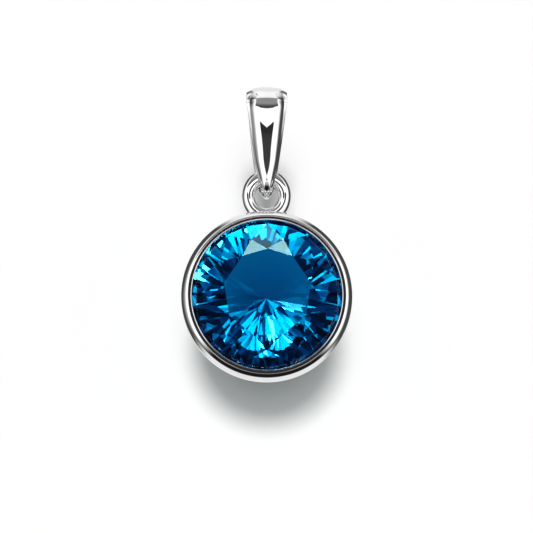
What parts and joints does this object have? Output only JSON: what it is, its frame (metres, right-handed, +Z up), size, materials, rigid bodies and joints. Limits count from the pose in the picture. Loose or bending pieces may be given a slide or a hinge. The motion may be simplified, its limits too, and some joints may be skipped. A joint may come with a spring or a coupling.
{
  "type": "pendant",
  "caption": "Round faceted blue stone in a polished rolled bezel, hung from a heavy ring on a tapered folded bail that a chain threads through.",
  "frame": {"origin": "the chain seat, which is the highest point of the inside of the bail's loop", "axes": "+Z up with the pendant hanging, the stone faces -Y, +X to the right as seen from the front"},
  "size_m": [0.011, 0.0062, 0.0194],
  "materials": {
    "polished_silver": "polished",
    "silver_solder": "gloss",
    "blue_stone": "polished"
  },
  "bodies": {
    "bail": {"bail": "polished_silver"},
    "drop": {"connector_ring": "polished_silver", "ring_solder_left": "silver_solder", "ring_solder_right": "silver_solder", "bezel_cup": "polished_silver", "bearing_ring": "polished_silver", "gemstone": "blue_stone"}
  },
  "joints": [
    {"name": "drop_swing", "type": "hinge", "parent": "bail", "child": "drop", "pos_m": [0, 0, -0.00552], "axis": [1, 0, 0], "range_deg": [-90, 90]}
  ]
}
